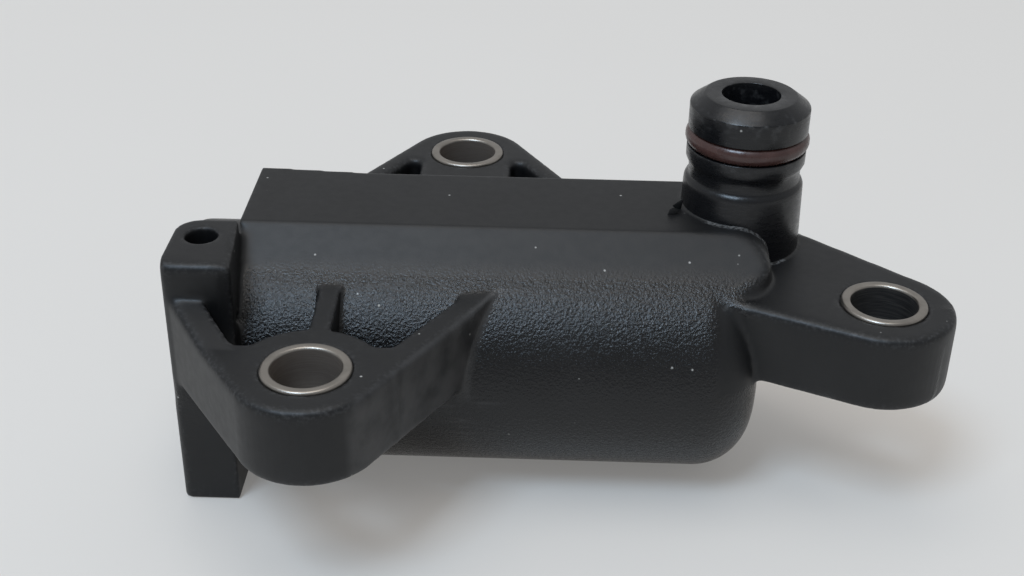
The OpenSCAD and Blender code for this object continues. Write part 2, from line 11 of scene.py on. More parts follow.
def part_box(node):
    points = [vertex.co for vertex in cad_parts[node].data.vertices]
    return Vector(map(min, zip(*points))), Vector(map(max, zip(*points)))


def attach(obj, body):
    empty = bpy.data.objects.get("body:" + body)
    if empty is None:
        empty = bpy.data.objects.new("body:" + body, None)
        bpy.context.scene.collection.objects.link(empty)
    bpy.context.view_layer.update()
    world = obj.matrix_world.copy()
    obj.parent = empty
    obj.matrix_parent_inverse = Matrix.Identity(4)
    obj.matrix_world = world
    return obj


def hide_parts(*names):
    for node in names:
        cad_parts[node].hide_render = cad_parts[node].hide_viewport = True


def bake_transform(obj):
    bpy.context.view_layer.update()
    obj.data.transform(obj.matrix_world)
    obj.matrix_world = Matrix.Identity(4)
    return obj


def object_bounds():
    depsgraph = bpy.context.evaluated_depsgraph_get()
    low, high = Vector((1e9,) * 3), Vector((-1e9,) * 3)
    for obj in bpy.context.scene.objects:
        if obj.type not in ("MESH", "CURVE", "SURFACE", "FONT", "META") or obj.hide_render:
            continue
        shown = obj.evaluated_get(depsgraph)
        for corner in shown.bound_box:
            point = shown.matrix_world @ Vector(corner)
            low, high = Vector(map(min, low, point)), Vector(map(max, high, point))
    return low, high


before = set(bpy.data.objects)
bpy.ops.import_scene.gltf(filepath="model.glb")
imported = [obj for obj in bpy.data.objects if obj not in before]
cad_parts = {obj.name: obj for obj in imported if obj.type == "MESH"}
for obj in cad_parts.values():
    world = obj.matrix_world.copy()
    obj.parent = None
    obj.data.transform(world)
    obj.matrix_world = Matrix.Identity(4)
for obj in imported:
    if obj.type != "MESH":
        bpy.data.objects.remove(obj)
cad_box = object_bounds()


# Housing: one injection moulding in black glass-filled nylon, with the barrel, the lock post, the flange,
# three lugs and the oil spigot. The barrel is pebbled, lug edges are soft and inner corners carry fillets.
MM = 0.001
OPEN = math.inf
BARREL_AXIS_Y = 23.2 * MM
BARREL_AXIS_Z = -10.9 * MM
BARREL_RADIUS = 13.25 * MM
BARREL_BAND = 0.12 * MM
BARREL_FACING = 0.6
END_CAP_FACING = 0.2
END_CAP_INNER = 4 * MM
BUSH_CENTRES = {
    "front_bush": (0.0, 0.0),
    "rear_bush": (12.7 * MM, 51.8 * MM),
    "right_bush": (58.95 * MM, 15.85 * MM),
}
BUSH_SEAT = 5.6 * MM
SPIGOT_CENTRE = (44.85 * MM, 30.1 * MM)
SPIGOT_CUT_LOW = 6.55 * MM
SPIGOT_CUT_RADIUS = 7.4 * MM
SPIGOT_CUT_HEIGHT = 20 * MM
SPIGOT_FOOT_LOW = -1 * MM
SPIGOT_FOOT_RADIUS = 7.8 * MM
SPIGOT_CRISP_RADIUS = 9 * MM
SPIGOT_DOME_GAP = 7 * MM
# Middle, size, rise and turn of the rib's end, the right wing's end, the right web and the post's right wall
SWELLINGS = [
    ((0.2, 14.05, -0.45), (2.3, 5.1, 0.9), 5.6, 0.0),
    ((16.25, 15.65, -0.55), (3.0, 4.2, 1.0), 5.4, -30.4),
    ((7.6, 3.75, -4.6), (4.0, 2.0, 8.4), 0.0, 0.0),
    ((-10.18, 13.8, 1.6), (1.5, 7.6, 7.2), 0.0, 5.8),
    ((-10.69, 18.9, 2.8), (1.5, 3.0, 4.8), 0.0, 5.8),
    ((-9.91, 11.1, -6.0), (1.5, 2.2, 8.2), 0.0, 5.8),
]
# A point on the outer face of each front wing, and the way that face looks
WING_FACES = [((17.8, 15.32), (0.8626, -0.5060)), ((-15.7, 9.8), (-0.8310, -0.5563))]
WING_INSIDE = 1.5 * MM
# Width of the band of painted sheen on the right wing's outer side
WING_SHEEN_BAND = 0.35 * MM
SKIN_VOXEL = 0.24 * MM
SKIN_TRIANGLES = 190_000
SKIN_SMOOTHING = 3
SPIGOT_FOOT_SHARE = 0.2
FILLET_SMOOTHING = 8
POST_FILLET_SMOOTHING = 60
LUG_EDGE_SMOOTHING = 45
LUG_EDGE_TOP = 1.0 * MM
EDGE_RINGS = 3
CORNER_DEPTH = 0.010 * MM
CORNER_START = 0.4
# Where convex edges start to be painted lighter, as scuffs and painted edge highlight
WEAR_AND_HIGHLIGHT_START = 0.2
# Regions of the skin that are smoothed or painted in their own way, as a low and a high corner in mm
LUG_ENDS = ((-2, 11, -1.5), (20, 19, 1.5))
LUG_POCKETS = ((-12.6, 2, -10.9), (OPEN, 16, OPEN))
POST_EDGES = ((-OPEN, -OPEN, -OPEN), (-9.0, 10.3, OPEN))
POST_CORNER = ((-10.5, -OPEN, -10.9), (-8.7, 24, OPEN))
BARREL_DOME = ((40, -OPEN, -OPEN), (OPEN, 26, OPEN))
BARREL_END = ((40, -OPEN, -OPEN), (OPEN, OPEN, -9))
FLANGE_RIDGE = ((-OPEN, 21.2, 3.9), (OPEN, 23.2, OPEN))
FLASH_SEEN = ((-OPEN, -OPEN, -1.5), (OPEN, 25, OPEN))
WING_SIDE = ((-OPEN, -OPEN, -OPEN), (OPEN, 16, 1.0))
FLASH_RADIUS = 6.95 * MM
FLASH_WIDTH = 0.14 * MM
SCUFF_MIDDLE = (42.3 * MM, 14.4 * MM, -0.3 * MM)
SCUFF_RADIUS = 0.9 * MM
SCUFF_SHARE = 0.6
NYLON_DARK = (0.0038, 0.0040, 0.0046, 1)
NYLON_LIGHT = (0.0062, 0.0064, 0.0070, 1)
# Lighter colour of the painted sheen on the right wing's outer side
NYLON_PAINTED_SHEEN = (0.042, 0.041, 0.041, 1)
NYLON_SCUFF_AND_HIGHLIGHT = (0.030, 0.030, 0.031, 1)
NYLON_TORN = (0.085, 0.085, 0.085, 1)
DUST = (0.36, 0.35, 0.33, 1)
MATT_ROUGH = (0.455, 0.495)
PEBBLE_ROUGH = (0.16, 0.30)
PEBBLE_HEIGHT = 0.095 * MM
PEBBLE_FADE = (0.5 * MM, 2.4 * MM)
FINE_HEIGHT = 0.010 * MM


def select_only(piece):
    """Deselects everything, then selects one piece and makes it active."""
    bpy.ops.object.select_all(action="DESELECT")
    piece.select_set(True)
    bpy.context.view_layer.objects.active = piece


def apply_modifier(piece, kind, **settings):
    """Adds one modifier with the given settings and applies it."""
    select_only(piece)
    modifier = piece.modifiers.new(kind.lower(), kind)
    for name, value in settings.items():
        setattr(modifier, name, value)
    bpy.ops.object.modifier_apply(modifier=modifier.name)


def copy_of_node(node, name):
    """A merged copy of a CAD node's mesh, as a piece of its own."""
    piece = bpy.data.objects.new(name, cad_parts[node].data.copy())
    bpy.context.collection.objects.link(piece)
    piece.data.materials.clear()
    select_only(piece)
    bpy.ops.object.mode_set(mode="EDIT")
    bpy.ops.mesh.select_all(action="SELECT")
    bpy.ops.mesh.remove_doubles(threshold=0.001 * MM)
    bpy.ops.object.mode_set(mode="OBJECT")
    bpy.ops.mesh.customdata_custom_splitnormals_clear()
    return piece


def vectors(collection, key, width=3):
    """One value per item of a mesh collection, as an array of rows."""
    values = np.empty(len(collection) * width, dtype=np.int64 if key == "vertices" else np.float64)
    collection.foreach_get(key, values)
    return values.reshape(-1, width)


def inside(points, corners):
    """Which points lie between a low and a high corner, given in mm."""
    low, high = (np.array(corner) * MM for corner in corners)
    return ((points > low) & (points < high)).all(axis=1)


def from_upright(points, centre):
    """Each point's distance from an upright axis."""
    return np.hypot(points[:, 0] - centre[0], points[:, 1] - centre[1])


def band(distance, width):
    """1 within a width of a line or a face, fading to 0 at twice that width."""
    return np.clip(2 - np.abs(distance) / width, 0, 1)


def neighbour_mean(values, edges):
    """Mean over each point's neighbours."""
    total = np.zeros_like(values)
    count = np.zeros(len(values))
    for a, b in ((0, 1), (1, 0)):
        np.add.at(total, edges[:, a], values[edges[:, b]])
        np.add.at(count, edges[:, a], 1)
    return total / (count if values.ndim == 1 else count[:, None])


def softened(values, edges):
    """Values after two rounds of the mean over neighbours."""
    return neighbour_mean(neighbour_mean(values, edges), edges)


def corner_depth(mesh):
    """How far each point lies below its neighbours along its normal: above 0 in an inner corner."""
    points = vectors(mesh.vertices, "co")
    normals = vectors(mesh.vertices, "normal")
    edges = vectors(mesh.edges, "vertices", 2)
    return np.einsum("ij,ij->i", neighbour_mean(points, edges) - points, normals)


def widened(mask, edges, rings):
    """A mask spread over some rings of neighbours, with a soft border."""
    for _ in range(rings):
        spread = mask.copy()
        np.maximum.at(spread, edges[:, 0], mask[edges[:, 1]])
        np.maximum.at(spread, edges[:, 1], mask[edges[:, 0]])
        mask = spread
    return softened(mask, edges)


def smooth_where(piece, weights, iterations):
    """Smooths a piece's mesh by weights from 0 to 1."""
    group = piece.vertex_groups.new(name="smoothed")
    for step in range(1, 11):
        chosen = np.flatnonzero(np.round(weights * 10) == step)
        group.add(chosen.tolist(), step / 10, "REPLACE")
    apply_modifier(piece, "SMOOTH", factor=0.5, iterations=iterations, vertex_group="smoothed")
    piece.vertex_groups.clear()


def paint(piece, name, values):
    """Stores one value per point for the material to read."""
    attribute = piece.data.attributes.new(name, "FLOAT", "POINT")
    attribute.data.foreach_set("value", values.astype(np.float32))


housing = copy_of_node("housing", "housing_moulding")
bpy.ops.object.select_all(action="DESELECT")
bpy.ops.mesh.primitive_cylinder_add(
    vertices=96,
    radius=SPIGOT_CUT_RADIUS,
    depth=SPIGOT_CUT_HEIGHT,
    location=(*SPIGOT_CENTRE, SPIGOT_CUT_LOW + SPIGOT_CUT_HEIGHT / 2),
)
spigot_cutter = bpy.context.object
apply_modifier(housing, "BOOLEAN", operation="DIFFERENCE", solver="EXACT", object=spigot_cutter)
bpy.data.objects.remove(spigot_cutter)
for middle, size, rise, turn in SWELLINGS:
    bpy.ops.object.select_all(action="DESELECT")
    bpy.ops.mesh.primitive_cube_add(
        size=1,
        location=Vector(middle) * MM,
        rotation=(math.radians(rise), 0, math.radians(turn)),
        scale=Vector(size) * MM,
    )
    bpy.ops.object.transform_apply(location=True, rotation=True, scale=True)
    housing.select_set(True)
    bpy.context.view_layer.objects.active = housing
    bpy.ops.object.join()
apply_modifier(housing, "REMESH", mode="VOXEL", voxel_size=SKIN_VOXEL, adaptivity=0.0)
skin_points = vectors(housing.data.vertices, "co")
from_spigot = from_upright(skin_points, SPIGOT_CENTRE)
at_spigot_foot = (from_spigot < SPIGOT_FOOT_RADIUS) & (skin_points[:, 2] > SPIGOT_FOOT_LOW)
smooth_where(housing, np.where(at_spigot_foot, SPIGOT_FOOT_SHARE, 1.0), SKIN_SMOOTHING)

skin_points = vectors(housing.data.vertices, "co")
skin_edges = vectors(housing.data.edges, "vertices", 2)
depth = corner_depth(housing.data)
inner_corner = np.clip(depth / CORNER_DEPTH - CORNER_START, 0, 1)
outer_edge = np.clip(-depth / CORNER_DEPTH - CORNER_START, 0, 1)
x, y, z = skin_points.T
lug_ends = inside(skin_points, LUG_ENDS)
in_pockets = inside(skin_points, LUG_POCKETS)
for foot, away in WING_FACES:
    in_pockets &= (x - foot[0] * MM) * away[0] + (y - foot[1] * MM) * away[1] < -WING_INSIDE
on_post = inside(skin_points, POST_EDGES)
on_dome = inside(skin_points, BARREL_DOME) & (from_spigot > SPIGOT_DOME_GAP)
beside_post = inside(skin_points, POST_CORNER)
crisp = lug_ends | in_pockets | ((from_spigot < SPIGOT_CRISP_RADIUS) & (z > SPIGOT_FOOT_LOW))
outer_edge[(z > LUG_EDGE_TOP) & ~on_post & ~on_dome | (z < BARREL_AXIS_Z) | lug_ends | in_pockets] = 0
for bush_centre in BUSH_CENTRES.values():
    outer_edge[from_upright(skin_points, bush_centre) < BUSH_SEAT] = 0
smooth_where(housing, widened(inner_corner * ~crisp, skin_edges, EDGE_RINGS), FILLET_SMOOTHING)
smooth_where(housing, widened(inner_corner * beside_post, skin_edges, 2 * EDGE_RINGS), POST_FILLET_SMOOTHING)
smooth_where(housing, widened(outer_edge, skin_edges, EDGE_RINGS + 1), LUG_EDGE_SMOOTHING)

# Convex edges are painted lighter: partly scuffs, partly a painted edge highlight
edge_wear_and_highlight = np.clip(-corner_depth(housing.data) / CORNER_DEPTH - WEAR_AND_HIGHLIGHT_START, 0, 1)
edge_wear_and_highlight = softened(edge_wear_and_highlight, skin_edges)
skin_points = vectors(housing.data.vertices, "co")
edge_wear_and_highlight[inside(skin_points, FLANGE_RIDGE)] = 0
skin_tree = KDTree(len(skin_points))
for index, point in enumerate(skin_points):
    skin_tree.insert(point, index)
skin_tree.balance()
triangle_count = sum(len(face.vertices) - 2 for face in housing.data.polygons)
apply_modifier(housing, "DECIMATE", ratio=SKIN_TRIANGLES / triangle_count)
select_only(housing)
bpy.ops.object.shade_smooth()

skin_points = vectors(housing.data.vertices, "co")
skin_normals = vectors(housing.data.vertices, "normal")
skin_edges = vectors(housing.data.edges, "vertices", 2)
nearest = np.array([skin_tree.find(point)[1] for point in skin_points])
paint(housing, "edge_wear_and_highlight", edge_wear_and_highlight[nearest])
from_spigot = from_upright(skin_points, SPIGOT_CENTRE)
flash = band(from_spigot - FLASH_RADIUS, FLASH_WIDTH) * inside(skin_points, FLASH_SEEN)
from_scuff = np.linalg.norm(skin_points - np.array(SCUFF_MIDDLE), axis=1)
paint(housing, "flash", np.maximum(flash, np.clip(1.2 - from_scuff / SCUFF_RADIUS, 0, SCUFF_SHARE)))
# Painted sheen: a band on the right wing's outer side is painted lighter, standing in for light reflected
# there
sheen_foot, sheen_side = WING_FACES[0]
from_face = (skin_points[:, :2] - np.array(sheen_foot) * MM) @ np.array(sheen_side)
paint(housing, "painted_sheen", band(from_face, WING_SHEEN_BAND) * inside(skin_points, WING_SIDE))
from_axis = skin_points[:, 1:] - np.array([BARREL_AXIS_Y, BARREL_AXIS_Z])
axis_distance = np.linalg.norm(from_axis, axis=1)
facing_out = np.einsum("ij,ij->i", from_axis, skin_normals[:, 1:]) / axis_distance
on_barrel = band(axis_distance - BARREL_RADIUS, BARREL_BAND) * (facing_out > BARREL_FACING)
end_cap = inside(skin_points, BARREL_END) & (skin_normals[:, 0] > END_CAP_FACING)
end_cap &= (axis_distance > END_CAP_INNER) & (axis_distance < BARREL_RADIUS)
paint(housing, "barrel_grain", softened(np.maximum(on_barrel, end_cap), skin_edges))


class Graph:
    """Short calls that add and link nodes in one shader tree, placed by object coordinates."""

    def __init__(self, tree):
        self.tree = tree
        self.place = self.node("ShaderNodeTexCoord").outputs["Object"]

    def node(self, kind, inputs=None, **settings):
        made = self.tree.nodes.new(kind)
        for name, value in settings.items():
            setattr(made, name, value)
        for name, value in (inputs or {}).items():
            self.feed(made.inputs[name], value)
        return made

    def feed(self, socket, value):
        if isinstance(value, bpy.types.NodeSocket):
            self.tree.links.new(value, socket)
        else:
            socket.default_value = value

    def noise(self, scale, detail=3.0, stretch=(1, 1, 1)):
        place = self.node("ShaderNodeMapping", {"Vector": self.place, "Scale": stretch}).outputs["Vector"]
        inputs = {"Vector": place, "Scale": scale, "Detail": detail}
        return self.node("ShaderNodeTexNoise", inputs).outputs["Fac"]

    def cells(self, scale, output="Distance", feature="F1"):
        inputs = {"Vector": self.place, "Scale": scale}
        return self.node("ShaderNodeTexVoronoi", inputs, feature=feature).outputs[output]

    def painted(self, name):
        return self.node("ShaderNodeAttribute", attribute_name=name).outputs["Fac"]

    def ramp(self, value, low, high, to_low=0.0, to_high=1.0):
        inputs = {"Value": value, "From Min": low, "From Max": high, "To Min": to_low, "To Max": to_high}
        return self.node("ShaderNodeMapRange", inputs, interpolation_type="SMOOTHSTEP").outputs["Result"]

    def math(self, operation, a, b):
        return self.node("ShaderNodeMath", {0: a, 1: b}, operation=operation).outputs[0]

    def times(self, a, b):
        return self.math("MULTIPLY", a, b)

    def blend(self, factor, a, b):
        mix = self.node("ShaderNodeMix", data_type="RGBA")
        for socket, value in ((mix.inputs[0], factor), (mix.inputs[6], a), (mix.inputs[7], b)):
            self.feed(socket, value)
        return mix.outputs[2]

    def between(self, factor, a, b):
        mix = self.node("ShaderNodeMix", {0: factor, 2: a, 3: b}, data_type="FLOAT")
        return mix.outputs[0]

    def bump(self, height, distance, strength=1.0, normal=None):
        inputs = {"Height": height, "Distance": distance, "Strength": strength}
        if normal:
            inputs["Normal"] = normal
        return self.node("ShaderNodeBump", inputs).outputs["Normal"]

    def effect(self, group, **inputs):
        made = self.node("ShaderNodeGroup", node_tree=group)
        for name, value in inputs.items():
            self.feed(made.inputs[name], value)
        return made.outputs[0]


class Effect(Graph):
    """A shader node group with named inputs that puts out one mask or height."""

    def __init__(self, name, output, **inputs):
        self.group = bpy.data.node_groups.new(name, "ShaderNodeTree")
        for label, value in inputs.items():
            kind = "NodeSocketVector" if isinstance(value, tuple) else "NodeSocketFloat"
            socket = self.group.interface.new_socket(label, in_out="INPUT", socket_type=kind)
            socket.default_value = value
        self.group.interface.new_socket(output, in_out="OUTPUT", socket_type="NodeSocketFloat")
        super().__init__(self.group)
        self.given = self.node("NodeGroupInput").outputs

    def close(self, value):
        self.feed(self.node("NodeGroupOutput").inputs[0], value)
        return self.group


class Surface(Graph):
    """A material with its Principled shader."""

    def __init__(self, name, **constants):
        self.material = bpy.data.materials.new(name)
        self.material.use_nodes = True
        super().__init__(self.material.node_tree)
        self.bsdf = self.tree.nodes["Principled BSDF"]
        for socket, value in constants.items():
            self.bsdf.inputs[socket.replace("_", " ")].default_value = value

    def finish(self, **links):
        for socket, value in links.items():
            self.feed(self.bsdf.inputs[socket.replace("_", " ")], value)
        return self.material


cloud = Effect("stains", "Mask", Scale=140.0, Low=0.3, High=0.7)
cloud_noise = cloud.noise(cloud.given["Scale"], detail=4)
stains = cloud.close(cloud.ramp(cloud_noise, cloud.given["Low"], cloud.given["High"]))

speck = Effect("dust_specks", "Mask", Scale=420.0, Share=0.03)
speck_colour = speck.cells(speck.given["Scale"], output="Color")
speck_draw = speck.node("ShaderNodeSeparateXYZ", {"Vector": speck_colour}).outputs["X"]
speck_here = speck.math("LESS_THAN", speck_draw, speck.given["Share"])
speck_size = speck.ramp(speck.cells(speck.given["Scale"]), 0.075, 0.03)
dust_specks = speck.close(speck.times(speck_size, speck_here))

nylon = Surface("black_glass_filled_nylon", IOR=1.45)
skin_height = nylon.node("ShaderNodeSeparateXYZ", {"Vector": nylon.place}).outputs["Z"]
grain = nylon.times(nylon.painted("barrel_grain"), nylon.ramp(skin_height, *PEBBLE_FADE, 1.0, 0.0))
# Painted sheen on the right wing's outer side, broken up by stains
sheen_film = nylon.times(nylon.painted("painted_sheen"), nylon.effect(stains, Scale=320.0, Low=0.2))
# Scuffs and painted edge highlight on convex edges, broken up by stains
scuffs_and_edge_highlight = nylon.times(nylon.painted("edge_wear_and_highlight"), nylon.effect(stains, Scale=2600.0, Low=0.45))
flash_bits = nylon.times(nylon.painted("flash"), nylon.effect(stains, Scale=3000.0, Low=0.42, High=0.62))
nylon_tint = nylon.blend(nylon.effect(stains, Scale=140.0), NYLON_DARK, NYLON_LIGHT)
nylon_tint = nylon.blend(sheen_film, nylon_tint, NYLON_PAINTED_SHEEN)
nylon_tint = nylon.blend(scuffs_and_edge_highlight, nylon_tint, NYLON_SCUFF_AND_HIGHLIGHT)
nylon_tint = nylon.blend(flash_bits, nylon_tint, NYLON_TORN)
nylon_tint = nylon.blend(nylon.effect(dust_specks, Share=0.42), nylon_tint, DUST)
matt_rough = nylon.ramp(nylon.noise(900), 0.3, 0.7, *MATT_ROUGH)
pebble_rough = nylon.ramp(nylon.noise(2600), 0.35, 0.7, *PEBBLE_ROUGH)
fine_relief = nylon.bump(nylon.noise(4200, detail=2), FINE_HEIGHT, 0.5)
pebbles = nylon.math("ADD", nylon.cells(3400, feature="SMOOTH_F1"), nylon.noise(6500))
nylon_finish = nylon.finish(
    Base_Color=nylon_tint,
    Roughness=nylon.between(grain, matt_rough, pebble_rough),
    Normal=nylon.bump(nylon.times(pebbles, grain), PEBBLE_HEIGHT, 0.7, fine_relief),
)
housing.data.materials.append(nylon_finish)
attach(housing, "housing")
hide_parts("housing")


# Oil spigot: the round top of the same moulding, which is turned true after moulding so that its lands,
# groove and chamfer are crisp. It stands on the base that the housing's skin carries.
SPIGOT_EDGE = 0.09 * MM
SPIGOT_SWIRL = (1.0, 1.0, 6.0)
SPIGOT_DARK = (0.0034, 0.0038, 0.0050, 1)
SPIGOT_LIGHT = (0.0058, 0.0060, 0.0072, 1)
SPIGOT_WORN_AND_HIGHLIT = (0.055, 0.055, 0.056, 1)
SPIGOT_ROUGH = (0.25, 0.37)
SPIGOT_WAVES = 0.05 * MM
# Radius and height of each rim that is painted lighter, as wear and painted edge highlight
WORN_AND_HIGHLIT_RIMS = [(3.2 * MM, 17.4 * MM), (6.55 * MM, 16.25 * MM), (6.55 * MM, 11.5 * MM)]
SPIGOT_PROFILE = [
    (3.20, -0.60),
    (3.20, 17.40),
    (5.00, 17.40),
    (6.55, 16.25),
    (6.55, 13.55),
    (5.00, 13.55),
    (5.00, 11.50),
    (6.55, 11.50),
    (6.55, 10.10),
    (6.40, 9.75),
    (6.24, 9.45),
    (6.16, 9.10),
    (6.14, 8.10),
    (6.20, 7.92),
    (6.34, 7.78),
    (6.50, 7.60),
    (6.60, 7.35),
    (6.64, 6.90),
    (6.86, -0.60),
]


def turned(name, profile, around=128):
    """Turns a closed profile of (radius, height) points about Z: each step extrudes the last ring onward."""
    bpy.ops.object.select_all(action="DESELECT")
    radius, height = profile[0]
    bpy.ops.mesh.primitive_circle_add(vertices=around, radius=radius, location=(0, 0, height))
    piece = bpy.context.object
    piece.name = name
    bpy.ops.object.transform_apply(location=True, rotation=True, scale=True)
    bpy.ops.object.mode_set(mode="EDIT")
    bpy.ops.mesh.select_all(action="SELECT")
    for next_radius, next_height in profile[1:]:
        bpy.ops.mesh.extrude_edges_move()
        wider = next_radius / radius
        bpy.ops.transform.resize(value=(wider, wider, 1), center_override=(0, 0, height))
        bpy.ops.transform.translate(value=(0, 0, next_height - height))
        radius, height = next_radius, next_height
    bpy.ops.mesh.select_all(action="DESELECT")
    bpy.ops.mesh.select_non_manifold()
    bpy.ops.mesh.bridge_edge_loops()
    bpy.ops.mesh.select_all(action="SELECT")
    bpy.ops.mesh.normals_make_consistent(inside=False)
    bpy.ops.object.mode_set(mode="OBJECT")
    return piece


def shade(piece, angle=40):
    """Smooth shading that keeps edges sharper than the angle."""
    select_only(piece)
    bpy.ops.object.shade_smooth_by_angle(angle=math.radians(angle))


spigot = turned("inlet_spigot", [(radius * MM, height * MM) for radius, height in SPIGOT_PROFILE])
apply_modifier(
    spigot, "BEVEL", width=SPIGOT_EDGE, segments=3, limit_method="ANGLE", angle_limit=math.radians(30)
)
spigot.data.transform(Matrix.Translation((*SPIGOT_CENTRE, 0)))
shade(spigot, 45)
spigot_points = vectors(spigot.data.vertices, "co")
spigot_radius = from_upright(spigot_points, SPIGOT_CENTRE)
# The bore rim, the chamfer's foot and the land's top edge are painted lighter: partly wear, partly a painted
# edge highlight
worn_and_highlit_rims = np.zeros(len(spigot_points))
for rim_radius, rim_height in WORN_AND_HIGHLIT_RIMS:
    rim_gap = np.hypot(spigot_radius - rim_radius, spigot_points[:, 2] - rim_height)
    worn_and_highlit_rims = np.maximum(worn_and_highlit_rims, np.clip(1.5 - rim_gap / SPIGOT_EDGE, 0, 1))
paint(spigot, "worn_and_highlit_rims", worn_and_highlit_rims)
smooth = Surface("smooth_black_nylon", IOR=1.46)
# Rims: wear and painted edge highlight, broken up by stains
rim_wear_and_highlight = smooth.times(smooth.painted("worn_and_highlit_rims"), smooth.effect(stains, Scale=1100.0, Low=0.5))
smooth_tint = smooth.blend(smooth.effect(stains, Scale=240.0), SPIGOT_DARK, SPIGOT_LIGHT)
smooth_tint = smooth.blend(rim_wear_and_highlight, smooth_tint, SPIGOT_WORN_AND_HIGHLIT)
smooth_tint = smooth.blend(smooth.effect(dust_specks, Share=0.15), smooth_tint, DUST)
swirl = smooth.noise(900, stretch=SPIGOT_SWIRL)
smooth_finish = smooth.finish(
    Base_Color=smooth_tint,
    Roughness=smooth.ramp(swirl, 0.3, 0.7, *SPIGOT_ROUGH),
    Normal=smooth.bump(smooth.noise(1400), SPIGOT_WAVES, 0.35),
)
spigot.data.materials.append(smooth_finish)
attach(spigot, "housing")
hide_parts("housing")


# Flash: two torn slivers of the same nylon, left by the mould where the spigot's base meets the flat.
# Nothing holds them but their roots, so they are thin and stand up at odd angles.
SLIVER_EDGE = 0.08 * MM
# Middle, size and turns in degrees of each sliver
SLIVERS = [
    ((36.9, 26.5, 4.70), (2.0, 0.5, 0.8), (0, -24, 20)),
    ((37.8, 27.9, 5.0), (1.1, 0.45, 1.5), (10, 28, -15)),
]
for index, (middle, size, turns) in enumerate(SLIVERS):
    bpy.ops.object.select_all(action="DESELECT")
    bpy.ops.mesh.primitive_cone_add(
        vertices=9,
        radius1=0.5,
        radius2=0.08,
        depth=1,
        location=Vector(middle) * MM,
        rotation=[math.radians(turn) for turn in turns],
        scale=Vector(size) * MM,
    )
    sliver = bpy.context.object
    sliver.name = "flash_sliver_" + str(index + 1)
    bpy.ops.object.transform_apply(location=True, rotation=True, scale=True)
    apply_modifier(sliver, "BEVEL", width=SLIVER_EDGE, segments=2, limit_method="ANGLE")
    shade(sliver, 60)
    sliver.data.materials.append(nylon_finish)
    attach(sliver, "housing")
    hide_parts("housing")


# Bolt bushes: three turned steel bushes pressed into the lugs, with a rounded rim that stands a little
# proud of the plastic. Their bores are brown with old oil, darkened toward black by painted shade by a
# different amount in each bush, and show turning lines.
BUSH_OUTER = 4.56 * MM
BUSH_BORE = 3.5 * MM
BUSH_LENGTH = 9.3 * MM
BUSH_RIM = 0.30 * MM
BUSH_STEEL = (0.33, 0.305, 0.275, 1)
BUSH_PROFILE = [
    (BUSH_BORE, -BUSH_LENGTH),
    (BUSH_BORE, 0.0),
    (BUSH_OUTER, 0.0),
    (BUSH_OUTER, -BUSH_LENGTH),
]
# Painted shade: how far each bush's bore is darkened from brown oil toward black
BORE_SHADE_SHARE = {"front_bush": 0.30, "rear_bush": 0.35, "right_bush": 1.0}
OIL_BROWN = (0.155, 0.128, 0.108, 1)
# Black of the painted shade in the bush bores
SHADE_BLACK = (0.016, 0.016, 0.017, 1)
OIL_COVER = (0.86, 1.0)
OIL_METAL = 0.15
STAINED_STEEL = 0.82
LINE_HEIGHT = 0.01 * MM
ROUND_BORE = (0.4, 0.4, 14.0)

lathe = Effect("turning_lines", "Height", Scale=900.0, Stretch=ROUND_BORE)
lathe_inputs = {0: lathe.place, 1: lathe.given["Stretch"]}
lathe_place = lathe.node("ShaderNodeVectorMath", lathe_inputs, operation="MULTIPLY").outputs[0]
lathe_noise = lathe.node("ShaderNodeTexNoise", {"Vector": lathe_place, "Scale": lathe.given["Scale"]})
turning_lines = lathe.close(lathe_noise.outputs["Fac"])


def steel_material(name, tint, rough, stretch, oiled=False):
    """Bright steel with turning lines, faint stains and, where it is painted so, brown oil that painted
    shade darkens toward black.
    """
    steel = Surface(name, Metallic=1.0)
    lines = steel.effect(turning_lines, Stretch=stretch)
    dull = tuple(STAINED_STEEL * part for part in tint[:3]) + (1,)
    colour = steel.blend(steel.effect(stains, Scale=420.0, Low=0.42), tint, dull)
    if oiled:
        # Brown oil, darkened toward black by painted shade
        oil_and_shade = steel.blend(steel.painted("painted_bore_shade"), OIL_BROWN, SHADE_BLACK)
        share = steel.times(steel.painted("oil_film"), steel.ramp(lines, 0.35, 0.65, *OIL_COVER))
        colour = steel.blend(share, colour, oil_and_shade)
        steel.feed(steel.bsdf.inputs["Metallic"], steel.ramp(share, 0.0, 1.0, 1.0, OIL_METAL))
    roughness = steel.ramp(lines, 0.3, 0.7, rough - 0.06, rough + 0.08)
    return steel.finish(Base_Color=colour, Roughness=roughness, Normal=steel.bump(lines, LINE_HEIGHT, 0.4))


bush_finish = steel_material("bush_steel", BUSH_STEEL, 0.36, ROUND_BORE, oiled=True)
for node, centre in BUSH_CENTRES.items():
    bush = turned(node + "_turned", BUSH_PROFILE)
    apply_modifier(bush, "BEVEL", width=BUSH_RIM, segments=4, limit_method="ANGLE")
    bush_points = vectors(bush.data.vertices, "co")
    in_bore = np.linalg.norm(bush_points[:, :2], axis=1) < BUSH_BORE + 0.02 * MM
    paint(bush, "oil_film", in_bore * 1.0)
    paint(bush, "painted_bore_shade", in_bore * BORE_SHADE_SHARE[node])
    bush.data.transform(Matrix.Translation((*centre, 0)))
    shade(bush)
    bush.data.materials.append(bush_finish)
    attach(bush, "housing")
    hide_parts(node)


